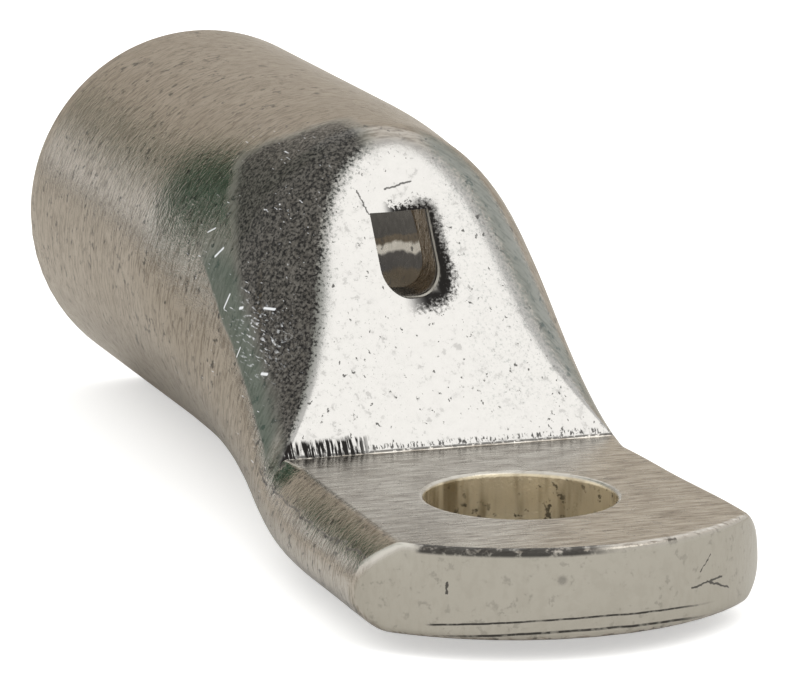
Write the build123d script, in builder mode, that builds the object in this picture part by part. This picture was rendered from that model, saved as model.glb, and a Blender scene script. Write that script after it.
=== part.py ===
from build123d import *
import math
import os

# Tinned copper cable lug, pressed from one length of tube. All sizes in millimetres.
# The origin is the centre of the stud hole on the palm's contact face. +X runs to the
# open end of the barrel and +Z points away from the contact face.

# Tube
barrel_diameter = 18.0
wall = 2.25
mouth_reach = 48.3
bore_length = 24.0
barrel_drop = 0.9
mouth_edge = 0.4

# Palm
palm_width = 18.8
palm_thickness = 4.0
palm_reach = 9.6
palm_end_bow = 0.612
palm_side_height = 1.55
palm_crown_height = 5.9
palm_corner_fullness = 0.74
palm_end_edge = 0.3

# Stud hole
stud_hole_diameter = 8.5
stud_hole_edge = 0.25

# Pressed ramp between the palm and the barrel
ramp_foot = 9.15
ramp_angle = 55.0
ramp_edge = 1.0
flank_narrowing = 0.83

# Where each part of the pressed section starts to open out and where it is round again,
# measured along X from the ramp's foot as a share of the barrel's diameter
width_start = -0.361
width_end = 1.139
side_start = -0.103
side_end = 1.217
crown_start = -0.117
crown_end = 0.594
corner_start = -0.194
corner_end = 0.294
drop_start = -0.064
drop_end = 0.547
drop_overrun = 0.3
section_count = 14

# Inspection window in the ramp, with its sill at a rise above the barrel's axis
window_width = 2.95
window_height = 3.6
window_rise = 1.95
window_corner = 1.3

# Inside of the pressed stretch
cavity_section_count = 6

# Sizes that follow from the driving ones
barrel_radius = barrel_diameter / 2
bore_radius = barrel_radius - wall
barrel_axis_height = barrel_radius - barrel_drop
palm_end_radius = palm_end_bow * palm_width
bore_scale = bore_radius / barrel_radius
ramp_slope = math.tan(math.radians(ramp_angle))
ramp_wall_drop = wall / math.cos(math.radians(ramp_angle))
bore_start = mouth_reach - bore_length
loft_start = ramp_foot + width_start * barrel_diameter
loft_end = ramp_foot + side_end * barrel_diameter
cavity_start = ramp_foot
drop_from = ramp_foot + drop_start * barrel_diameter
drop_to = ramp_foot + drop_end * barrel_diameter
window_sill = barrel_axis_height + window_rise
clear = 2 * barrel_diameter
# A quarter circle drawn as a cubic curve has its handles at this share of its radius
round_fullness = 4 / 3 * (math.sqrt(2) - 1)


def blend(x, start, end):
    """Smooth step from 0 at start to 1 at end, both in barrel diameters from the ramp's foot."""
    along = (x - ramp_foot) / barrel_diameter
    share = min(max((along - start) / (end - start), 0.0), 1.0)
    return share * share * (3 - 2 * share)


def pressed_sizes(x):
    """Half width, height of the widest line, crown height and corner fullness at x."""
    opening = blend(x, width_start, width_end)
    palm_half = palm_width / 2
    half = palm_half + (barrel_radius - palm_half) * opening
    half -= flank_narrowing * 4 * opening * (1 - opening)
    side = palm_side_height + (barrel_axis_height - palm_side_height) * blend(x, side_start, side_end)
    crown_top = barrel_axis_height + barrel_radius
    crown = palm_crown_height + (crown_top - palm_crown_height) * blend(x, crown_start, crown_end)
    corner = palm_corner_fullness
    corner += (round_fullness - palm_corner_fullness) * blend(x, corner_start, corner_end)
    return half, side, crown, -barrel_drop, corner


def cavity_sizes(x):
    """The same sizes for the inside of the tube, which the pressing reaches a wall later."""
    half, side, crown, keel, corner = pressed_sizes(x - wall)
    inner_keel = keel + wall
    inner_side = inner_keel + (side - keel) * bore_scale
    inner_crown = inner_side + (crown - side) * bore_scale
    return half - wall, inner_side, inner_crown, inner_keel, corner


def quarters_face(x, quarters):
    """Face at x inside four quarter curves, each given by its cubic curve's points."""
    plane = Plane.YZ.offset(x)
    curves = []
    for points in quarters:
        curves.append(Bezier(*[plane.from_local_coords(point) for point in points]))
    return Face(Wire(curves))


def pressed_outline(x, half, side, crown, keel, corner):
    """Closed outline at x: two quarters of an arched crown and two lower corners."""
    crown_handle = side + round_fullness * (crown - side)
    corner_handle = side - corner * (side - keel)
    crown_reach = round_fullness * half
    corner_reach = corner * half
    return quarters_face(
        x,
        [
            [(half, side), (half, crown_handle), (crown_reach, crown), (0, crown)],
            [(0, crown), (-crown_reach, crown), (-half, crown_handle), (-half, side)],
            [(-half, side), (-half, corner_handle), (-corner_reach, keel), (0, keel)],
            [(0, keel), (corner_reach, keel), (half, corner_handle), (half, side)],
        ],
    )


def round_outline(x, radius):
    """The round tube's outline at x, in four quarters like the pressed one."""
    plane = Plane.YZ.offset(x)
    centre = plane.from_local_coords((0, barrel_axis_height))
    curves = []
    for start_angle in (0, 90, 180, 270):
        circle_plane = Plane(origin=centre, x_dir=plane.x_dir, z_dir=plane.z_dir)
        curves.append(Edge.make_circle(radius, circle_plane, start_angle, start_angle + 90))
    return Face(Wire(curves))


def space_above(drop):
    """Side view of the space above the palm and its ramp, lowered by drop."""
    foot_height = palm_thickness - drop
    with BuildSketch(Plane.XZ) as outline:
        with BuildLine():
            Polyline(
                (-clear, foot_height),
                (ramp_foot, foot_height),
                (ramp_foot + clear / ramp_slope, foot_height + clear),
                (-clear, foot_height + clear),
                close=True,
            )
        make_face()
    return outline.sketch


def space_below(lift):
    """Side view of the space under the contact face, which runs out below the barrel."""
    run_out = lift - barrel_drop - drop_overrun
    with BuildSketch(Plane.XZ) as outline:
        with BuildLine():
            Line((-clear, lift), (drop_from, lift))
            Spline(
                (drop_from, lift),
                (drop_to, run_out),
                tangents=[(1, 0), (1, 0)],
            )
            Polyline(
                (drop_to, run_out),
                (drop_to, lift - clear),
                (-clear, lift - clear),
                (-clear, lift),
            )
        make_face()
    return outline.sketch


# Inside of the pressed stretch: the tube's bore, squeezed to a wedge under the ramp
cavity_step = (bore_start - cavity_start) / cavity_section_count
cavity_outlines = []
for index in range(cavity_section_count):
    section_x = cavity_start + cavity_step * index
    cavity_outlines.append(pressed_outline(section_x, *cavity_sizes(section_x)))
cavity_outlines.append(round_outline(bore_start, bore_radius))

with BuildPart() as cavity:
    loft(cavity_outlines)
    extrude(space_above(ramp_wall_drop), amount=clear, both=True, mode=Mode.SUBTRACT)
    extrude(space_below(wall), amount=clear, both=True, mode=Mode.SUBTRACT)

# Outside of the pressed stretch
section_step = (loft_end - loft_start) / section_count
pressed_outlines = []
for index in range(section_count):
    section_x = loft_start + section_step * index
    pressed_outlines.append(pressed_outline(section_x, *pressed_sizes(section_x)))
pressed_outlines.append(round_outline(loft_end, barrel_radius))

with BuildPart() as cable_lug:
    # Palm blank up to where the pressing starts to open, then the transition
    palm_blank = pressed_outline(-palm_reach, *pressed_sizes(-palm_reach))
    extrude(palm_blank, amount=palm_reach + loft_start)
    loft(pressed_outlines)

    # Round barrel, its bore, and the squeezed space behind the ramp
    with BuildSketch(Plane.YZ.offset(loft_end)):
        with Locations((0, barrel_axis_height)):
            Circle(barrel_radius)
    extrude(amount=mouth_reach - loft_end)
    with BuildSketch(Plane.YZ.offset(bore_start)):
        with Locations((0, barrel_axis_height)):
            Circle(bore_radius)
    extrude(amount=bore_length, mode=Mode.SUBTRACT)
    mouth_rims = cable_lug.faces().sort_by(Axis.X)[-1].edges()
    chamfer(mouth_rims, mouth_edge)
    add(cavity.part, mode=Mode.SUBTRACT)

    # Flat palm top and the ramp, with a sharp line between them, and the contact face
    extrude(space_above(0), amount=clear, both=True, mode=Mode.SUBTRACT)
    extrude(space_below(0), amount=clear, both=True, mode=Mode.SUBTRACT)

    # Rounded end of the palm
    with BuildSketch(Plane.XY.offset(-clear)):
        with BuildLine():
            end_centre = palm_end_radius - palm_reach
            ThreePointArc(
                (end_centre, palm_end_radius),
                (-palm_reach, 0),
                (end_centre, -palm_end_radius),
            )
            Polyline(
                (end_centre, -palm_end_radius),
                (-clear, -palm_end_radius),
                (-clear, palm_end_radius),
                (end_centre, palm_end_radius),
            )
        make_face()
    extrude(amount=2 * clear, mode=Mode.SUBTRACT)

    # Broken edges of the palm's end, and the soft edge round the ramp above its sharp foot
    end_face = cable_lug.faces().filter_by(GeomType.CYLINDER).sort_by(Axis.X)[0]
    chamfer(end_face.edges(), palm_end_edge)
    ramp_face = cable_lug.faces().filter_by(GeomType.PLANE).sort_by(Axis.Z)[-1]
    ramp_edges = ramp_face.edges().filter_by(GeomType.LINE, reverse=True)
    fillet(ramp_edges, ramp_edge)

    # Inspection window, punched along the barrel: square top corners, round sill
    with BuildSketch(Plane.YZ.offset(ramp_foot)) as window:
        with Locations((0, window_sill + window_height / 2)):
            Rectangle(window_width, window_height)
        fillet(window.vertices().group_by(Axis.Y)[0], window_corner)
    extrude(amount=bore_start - ramp_foot, mode=Mode.SUBTRACT)

    # Stud hole
    with Locations((0, 0, palm_thickness)):
        Hole(stud_hole_diameter / 2)
    hole_rims = cable_lug.edges(Select.LAST).filter_by(GeomType.CIRCLE)
    chamfer(hole_rims.sort_by(Axis.Z)[-1], stud_hole_edge)

cable_lug.part.label = "cable_lug"

os.makedirs("parts", exist_ok=True)
export_step(cable_lug.part, "parts/cable_lug.step")
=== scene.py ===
"""Looks of the tinned copper cable lug: pressed tube, studio and view of the photograph."""

import logging
import math
from dataclasses import dataclass
from enum import Enum
from functools import reduce

import bpy
import numpy as np
from mathutils import Matrix, Vector

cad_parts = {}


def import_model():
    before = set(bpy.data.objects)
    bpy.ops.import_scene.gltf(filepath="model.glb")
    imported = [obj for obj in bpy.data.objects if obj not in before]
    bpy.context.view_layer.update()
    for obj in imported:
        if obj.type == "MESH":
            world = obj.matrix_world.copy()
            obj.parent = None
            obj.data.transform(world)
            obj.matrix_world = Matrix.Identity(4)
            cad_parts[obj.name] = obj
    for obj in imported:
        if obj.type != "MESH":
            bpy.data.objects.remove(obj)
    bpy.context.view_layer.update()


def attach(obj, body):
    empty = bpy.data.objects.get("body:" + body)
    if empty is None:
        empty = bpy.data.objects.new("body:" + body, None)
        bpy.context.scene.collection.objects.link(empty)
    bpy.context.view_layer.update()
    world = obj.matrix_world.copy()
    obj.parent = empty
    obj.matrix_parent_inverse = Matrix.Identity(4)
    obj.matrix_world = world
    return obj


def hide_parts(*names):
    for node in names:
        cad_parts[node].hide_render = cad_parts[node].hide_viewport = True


logging.basicConfig(level=logging.INFO, format="%(message)s")
LOG = logging.getLogger("cable_lug")

MM = 0.001
ROOT_BODY = "root"
CAD_NODE = "cable_lug"
WHITE = (1.0, 1.0, 1.0, 1.0)
# Full part of a band or a stroke, as a share of its width
BAND_CORE = 0.4

Span = tuple[float, float]
Place = tuple[float, float, float]
Block = tuple[np.ndarray, np.ndarray, np.ndarray]


def linear_rgb(hex_code: str) -> tuple[float, float, float, float]:
    """Linear colour of an sRGB hex code.

    Args:
        hex_code: Six hex digits with a leading hash.

    Returns:
        Red, green, blue and an alpha of one, as Blender's sockets take them.
    """
    channels = [int(hex_code[i : i + 2], 16) / 255 for i in (1, 3, 5)]
    linear = [c / 12.92 if c <= 0.04045 else ((c + 0.055) / 1.055) ** 2.4 for c in channels]
    return (*linear, 1.0)


def column(values: np.ndarray | float) -> np.ndarray:
    """Values, one below the other."""
    return np.atleast_1d(np.asarray(values, float))[:, None]


def smooth_step(value: np.ndarray, start: float, end: float) -> np.ndarray:
    """Cubic step from 0 at start to 1 at end.

    Args:
        value: Places to evaluate.
        start: Where the step begins.
        end: Where the step is complete.

    Returns:
        The step at each place.
    """
    share = np.clip((value - start) / (end - start), 0.0, 1.0)
    return share * share * (3 - 2 * share)


def soft_min(first: np.ndarray, second: np.ndarray, reach: np.ndarray) -> np.ndarray:
    """Lower of two heights, rounded where they come within reach of each other.

    Args:
        first: First height.
        second: Second height.
        reach: Height difference over which the corner is rounded.

    Returns:
        The rounded lower height.
    """
    near = np.clip(reach - np.abs(first - second), 0.0, None) / reach
    return np.minimum(first, second) - near * near * reach / 4


def add_node(tree: bpy.types.NodeTree, kind: str, **inputs) -> bpy.types.Node:
    """Add a shader node and fill its sockets.

    Args:
        tree: Node tree that gets the node.
        kind: Blender's type name of the node.
        **inputs: Socket values, sources or Values by name, with a leading "at" and an index for
            sockets that share a name, and node properties with a leading "set_".

    Returns:
        The new node.
    """
    node = tree.nodes.new(kind)
    settings = {name[4:]: value for name, value in inputs.items() if name.startswith("set_")}
    for name, value in settings.items():
        setattr(node, name, value)
    for name, value in inputs.items():
        if name.startswith("set_"):
            continue
        by_index = name.startswith("at") and name[2:].isdigit()
        socket = node.inputs[int(name[2:]) if by_index else name.replace("_", " ")]
        if isinstance(value, Value):
            value = value.socket
        if isinstance(value, bpy.types.NodeSocket):
            tree.links.new(value, socket)
        else:
            socket.default_value = value
    return node


def closed_shape(name: str, rings: np.ndarray) -> bpy.types.Object:
    """Closed shape through rings of points.

    Args:
        name: Name of the object.
        rings: Points in millimetres, rings by points by coordinates.

    Returns:
        The shape, in metres.
    """
    index = np.arange(rings[..., 0].size).reshape(rings.shape[:2])
    following = np.roll(index, -1, axis=1)
    quads = np.stack([index[:-1], following[:-1], following[1:], index[1:]], axis=-1)
    faces = quads.reshape(-1, 4).tolist() + [index[0][::-1].tolist(), index[-1].tolist()]
    mesh = bpy.data.meshes.new(name)
    mesh.from_pydata((rings.reshape(-1, 3) * MM).tolist(), [], faces)
    mesh.update()
    shape = bpy.data.objects.new(name, mesh)
    bpy.context.scene.collection.objects.link(shape)
    return shape


@dataclass(frozen=True)
class TubeSizes:
    """Sizes of the pressed tube in millimetres, in the frame of the CAD part.

    Each span says where a part of the section begins to change and where it has changed,
    measured along X from the ramp's foot.
    """

    barrel_radius: float = 9.0
    wall: float = 2.25
    mouth_x: float = 48.3
    bore_start: float = 24.3
    bore_rounding: float = 3.0
    cavity_tip: float = 10.75
    mouth_edge: float = 0.4
    drop: float = 0.9
    drop_overrun: float = 0.3
    palm_half: float = 9.4
    palm_top: float = 4.0
    palm_reach: float = 9.594
    palm_straight: float = 2.6
    end_radius: float = 11.5
    end_edge: float = 0.3
    palm_side: float = 1.55
    palm_crown: float = 5.9
    corner: float = 0.74
    round_corner: float = 4 / 3 * (math.sqrt(2) - 1)
    ramp_foot: float = 9.15
    ramp_degrees: float = 55.0
    narrowing: float = 0.83
    width_span: Span = (-6.5, 20.5)
    side_span: Span = (-1.85, 21.9)
    crown_span: Span = (-2.1, 10.7)
    corner_span: Span = (-3.5, 5.3)
    drop_span: Span = (-1.15, 9.85)

    @property
    def axis_height(self) -> float:
        """Height of the barrel's axis above the contact face."""
        return self.barrel_radius - self.drop

    @property
    def bore_radius(self) -> float:
        """Radius of the round bore."""
        return self.barrel_radius - self.wall

    @property
    def lean(self) -> float:
        """Angle of the ramp in radians."""
        return math.radians(self.ramp_degrees)


@dataclass(frozen=True)
class Section:
    """Sizes of the pressed section at many places along X, all in millimetres."""

    half: np.ndarray
    side: np.ndarray
    crown: np.ndarray
    keel: np.ndarray
    corner: np.ndarray
    top: np.ndarray
    floor: np.ndarray


@dataclass(frozen=True)
class PressedTube:
    """The tube's section along X: palm, ramp, transition and round barrel."""

    sizes: TubeSizes

    def _run_out(self, along: np.ndarray) -> np.ndarray:
        """Drop of the contact face below the palm, at distances from the ramp's foot."""
        s = self.sizes
        return (s.drop + s.drop_overrun) * smooth_step(along, *s.drop_span)

    def outside(self, x: np.ndarray) -> Section:
        """Outer section at each x.

        Args:
            x: Places along X in millimetres.

        Returns:
            The section's sizes there.
        """
        s = self.sizes
        along = x - s.ramp_foot
        opening = smooth_step(along, *s.width_span)
        half = s.palm_half + (s.barrel_radius - s.palm_half) * opening
        half = half - s.narrowing * 4 * opening * (1 - opening)
        side = s.palm_side + (s.axis_height - s.palm_side) * smooth_step(along, *s.side_span)
        crown_top = s.axis_height + s.barrel_radius
        crown = s.palm_crown + (crown_top - s.palm_crown) * smooth_step(along, *s.crown_span)
        corner = s.corner + (s.round_corner - s.corner) * smooth_step(along, *s.corner_span)
        top = s.palm_top + math.tan(s.lean) * np.clip(along, 0.0, None)
        keel = np.full_like(x, -s.drop)
        return Section(half, side, crown, keel, corner, top, -self._run_out(along))

    def inside(self, x: np.ndarray) -> Section:
        """Section of the bore and of the squeezed space behind the ramp.

        Args:
            x: Places along X in millimetres.

        Returns:
            The inner section's sizes there.
        """
        s = self.sizes
        outer = self.outside(x - s.wall)
        scale = s.bore_radius / s.barrel_radius
        rounding = smooth_step(x, s.bore_start - s.bore_rounding, s.bore_start)
        keel = outer.keel + s.wall
        side = keel + (outer.side - outer.keel) * scale
        crown = side + (outer.crown - outer.side) * scale
        half = outer.half - s.wall
        half = half + (s.bore_radius - half) * rounding
        side = side + (s.axis_height - side) * rounding
        along = x - s.ramp_foot
        top = s.palm_top - s.wall / math.cos(s.lean) + math.tan(s.lean) * along
        floor = s.wall - self._run_out(along)
        return Section(half, side, crown, keel, outer.corner, top, floor)

    def end_x(self, y: np.ndarray, inset: np.ndarray | float = 0.0) -> np.ndarray:
        """Place of the palm's arched end at y.

        Args:
            y: Distance from the middle plane in millimetres.
            inset: Distance inside the end face.

        Returns:
            X of the end there.
        """
        s = self.sizes
        radius = s.end_radius - inset
        return s.end_radius - s.palm_reach - np.sqrt(np.clip(radius * radius - y * y, 0.0, None))


@dataclass(frozen=True)
class InspectionWindow:
    """Inspection window in the ramp, in millimetres."""

    width: float = 2.95
    sill: float = 10.05
    head: float = 13.65
    corner: float = 1.3
    head_corner: float = 0.05
    centre: float = 0.15
    reach: Span = (9.0, 23.0)
    corner_points: int = 13

    def outside(self, y: np.ndarray, z: np.ndarray) -> np.ndarray:
        """Distance in the YZ plane outside the window's outline.

        Args:
            y: Distance from the middle plane.
            z: Height.

        Returns:
            The distance, below zero inside.
        """
        middle = (self.sill + self.head) / 2
        rounding = np.where(z < middle, self.corner, self.head_corner)
        across = np.abs(y - self.centre) - self.width / 2 + rounding
        along = np.abs(z - middle) - (self.head - self.sill) / 2 + rounding
        outside = np.hypot(np.clip(across, 0, None), np.clip(along, 0, None))
        return outside + np.minimum(np.maximum(across, along), 0) - rounding

    def punch(self) -> bpy.types.Object:
        """Punch along X with a square head and a round sill.

        Returns:
            The punch.
        """
        turn = np.radians(np.linspace(0, 90, self.corner_points))
        right_y = self.centre - self.width / 2 + self.corner * (1 - np.sin(turn))
        side_z = self.sill + self.corner * (1 - np.cos(turn))
        left_y = 2 * self.centre - right_y
        y = np.concatenate([left_y, [left_y[-1], right_y[-1]], right_y[::-1]])
        z = np.concatenate([side_z, [self.head, self.head], side_z[::-1]])
        rings = [np.stack([np.full_like(y, x), y, z], axis=-1) for x in self.reach]
        return closed_shape("window_cutter", np.stack(rings))


@dataclass(frozen=True)
class StudHole:
    """Stud hole in the palm, in millimetres, with a quarter round at each rim."""

    radius: float = 4.25
    top_edge: float = 0.25
    base_edge: float = 0.12
    flare: float = 0.4
    overrun: float = 0.5
    points: int = 128
    edge_rings: int = 7

    def punch(self, palm_top: float) -> bpy.types.Object:
        """Turned punch through the palm.

        Args:
            palm_top: Height of the palm's top.

        Returns:
            The punch.
        """
        turn = np.radians(np.linspace(0, 90, self.edge_rings))
        out = 1 - np.cos(turn)
        down = 1 - np.sin(turn)
        low, high = self.base_edge, self.top_edge
        rim = [low + self.flare], low * out[::-1], high * out, [high + self.flare]
        radius = column(self.radius + np.concatenate(rim))
        heights = [-self.overrun], low * down[::-1], palm_top - high * down
        height = column(np.concatenate([*heights, [palm_top + self.overrun]]))
        angle = np.linspace(0, 2 * math.pi, self.points, endpoint=False)
        rings = [radius * np.cos(angle), radius * np.sin(angle), height + 0 * angle]
        return closed_shape("stud_hole_cutter", np.stack(rings, axis=-1))


@dataclass(frozen=True)
class MarkSizes:
    """Marks of the press and the punch in millimetres, and how many of them."""

    corner_reach: float = 0.42
    drag_depth: float = 0.26
    drag_fade: float = 0.28
    drag_right: Span = (-0.6, 1.2)
    corner_forward: Span = (-4.0, 5.5)
    corner_height: Span = (1.7, 3.9)
    corner_right: Span = (4.5, 7.7)
    seed: int = 41
    grooves: int = 70
    groove_y: Span = (-6.5, 8.0)
    groove_depth: Span = (0.01, 0.06)
    groove_width: Span = (0.05, 0.14)
    groove_height: Span = (0.25, 0.75)
    left_from: float = 3.0
    left_gain: float = 1.6
    right_gain: float = 0.5
    waves: tuple[int, int] = (14, 3)
    wave_pace: Span = (0.35, 1.6)
    wave_depth: float = 0.02
    ramp_skin: Span = (-0.12, -0.02)
    ramp_past_foot: Span = (0.02, 0.2)
    groove_skin: Span = (-0.3, -0.1)
    groove_past_foot: Span = (-0.02, 0.05)
    groove_end: Span = (0.0, 0.25)
    wave_skin: Span = (-0.6, -0.1)
    wave_past_foot: Span = (-0.3, 0.0)
    wave_out: Span = (5.0, 8.5)
    wave_from_x: Span = (-4.0, 2.0)
    wave_to_x: Span = (30.0, 40.0)


class PressMarks:
    """Marks that the press and the punch left in the outer skin."""

    def __init__(self, tube: PressedTube, window: InspectionWindow, sizes: MarkSizes) -> None:
        """Keep the sizes and draw the grooves and the waves.

        Args:
            tube: The tube.
            window: The inspection window.
            sizes: Sizes of the marks.
        """
        self.tube = tube
        self.window = window
        self.sizes = sizes
        m = sizes
        draw = np.random.default_rng(m.seed)
        place = draw.uniform(*m.groove_y, m.grooves)
        gain = np.where(place > m.left_from, m.left_gain, m.right_gain)
        depth = draw.uniform(*m.groove_depth, m.grooves) * gain
        width = draw.uniform(*m.groove_width, m.grooves)
        height = draw.uniform(*m.groove_height, m.grooves)
        self.grooves = np.stack([place, depth, width, height], axis=1)
        self.wave_turn = draw.uniform(0, 2 * math.pi, m.waves)
        self.wave_pace = draw.uniform(*m.wave_pace, m.waves) * np.sign(draw.uniform(-1, 1, m.waves))

    def _fuller_corner(self, points: np.ndarray) -> np.ndarray:
        """Press the palm's right upper corner out towards its end, as in the photograph.

        Args:
            points: Points in millimetres, with X, Y and Z last.

        Returns:
            The moved points, with the end face still on its arch.
        """
        x, y, z = np.moveaxis(points, -1, 0)
        straight = self.tube.sizes.palm_straight
        m = self.sizes
        share = smooth_step(-x, *m.corner_forward) * smooth_step(z, *m.corner_height)
        out = y - m.corner_reach * (share * smooth_step(-y, *m.corner_right))
        start = self.tube.end_x(y)
        near_end = np.clip((straight - x) / (straight - start), 0.0, 1.0)
        return np.stack([x + near_end * (self.tube.end_x(out) - start), out, z], axis=-1)

    def _drag(self, y: np.ndarray, z: np.ndarray) -> np.ndarray:
        """Depth to which the punch drags the ramp in round the window, on its right only.

        Args:
            y: Distance from the middle plane.
            z: Height.

        Returns:
            The depth.
        """
        away = np.clip(self.window.outside(y, z), 0, None)
        right = smooth_step(self.window.centre - y, *self.sizes.drag_right)
        return self.sizes.drag_depth * right * np.exp(-away / self.sizes.drag_fade)

    def _chatter(self, y: np.ndarray, height: np.ndarray) -> np.ndarray:
        """Depth of the press tool's grooves along the ramp's foot.

        A groove is deep exp(-((y - place) / width)^2) and ends at its own height.

        Args:
            y: Distance from the middle plane.
            height: Height above the palm.

        Returns:
            The depth.
        """
        depth = np.zeros_like(y)
        for place, deep, width, tall in self.grooves:
            groove = deep * np.exp(-(((y - place) / width) ** 2))
            ending = smooth_step(tall - height, *self.sizes.groove_end)
            depth = np.maximum(depth, groove * ending)
        return depth

    def _unevenness(self, x: np.ndarray, y: np.ndarray, z: np.ndarray) -> np.ndarray:
        """Slow unevenness of the flanks, a sum of products of three sines.

        Args:
            x: Place along the barrel.
            y: Distance from the middle plane.
            z: Height.

        Returns:
            The depth.
        """
        wave = np.zeros_like(x)
        for pace, turn in zip(self.wave_pace, self.wave_turn):
            along = np.sin(pace[0] * x * 0.5 + turn[0])
            wave += along * np.sin(pace[1] * y + turn[1]) * np.sin(pace[2] * z + turn[2])
        m = self.sizes
        flank = smooth_step(np.abs(y), *m.wave_out) * (1 - smooth_step(x, *m.wave_to_x))
        return m.wave_depth * (1 + wave / 3) * flank * smooth_step(x, *m.wave_from_x)

    def apply(self, points: np.ndarray) -> np.ndarray:
        """Move the outer skin's points by the marks.

        Args:
            points: Points in millimetres, with X, Y and Z last.

        Returns:
            The moved points.
        """
        s, m = self.tube.sizes, self.sizes
        x, y, z = np.moveaxis(self._fuller_corner(points), -1, 0)
        from_foot = x - s.ramp_foot
        height = z - s.palm_top
        above = (height - math.tan(s.lean) * from_foot) * math.cos(s.lean)
        on_ramp = smooth_step(above, *m.ramp_skin) * smooth_step(from_foot, *m.ramp_past_foot)
        drag = on_ramp * self._drag(y, z)
        on_foot = smooth_step(above, *m.groove_skin)
        on_foot = on_foot * smooth_step(from_foot, *m.groove_past_foot)
        chatter = on_foot * self._chatter(y, height)
        in_ramp = smooth_step(above, *m.wave_skin) * smooth_step(from_foot, *m.wave_past_foot)
        inwards = (1 - in_ramp) * self._unevenness(x, y, z)
        moved = [
            x + drag * math.sin(s.lean) + chatter,
            y - np.sign(y) * inwards,
            z - drag * math.cos(s.lean),
        ]
        return np.stack(moved, axis=-1)


@dataclass(frozen=True)
class SkinGrid:
    """How finely the skin is drawn: numbers of points and rows, and how they are spread."""

    flat_points: int = 58
    flank_points: int = 24
    lower_points: int = 16
    base_points: int = 12
    flat_ease: float = 0.3
    flank_ease: float = 0.35
    steepest_corner: float = math.radians(85.0)
    barrel_corner: float = math.radians(50.0)
    rounding_out: Span = (0.3, 6.0)
    lower_corner: Span = (0.3, 0.8)
    soft_edge: float = 0.12
    ramp_edge: float = 0.4
    ramp_edge_span: Span = (0.2, 4.0)
    inner_edge: float = 0.4
    cap_rings: int = 16
    edge_rows: int = 7
    palm_rows: int = 64
    palm_ease: float = 0.6
    before_foot: Span = (-0.6, -0.45)
    foot_rows: tuple[float, ...] = (0.0, 0.04, 0.09, 0.18, 0.3)
    past_foot: Span = (0.42, 0.54)
    row_stops: Span = (19.0, 32.0)
    row_counts: tuple[int, int, int, int] = (36, 78, 32, 14)
    bore_rows: int = 16
    cavity_rows: int = 60
    least_lift: float = 0.02
    halvings: int = 30
    pole_scale: float = 1e-4


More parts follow.
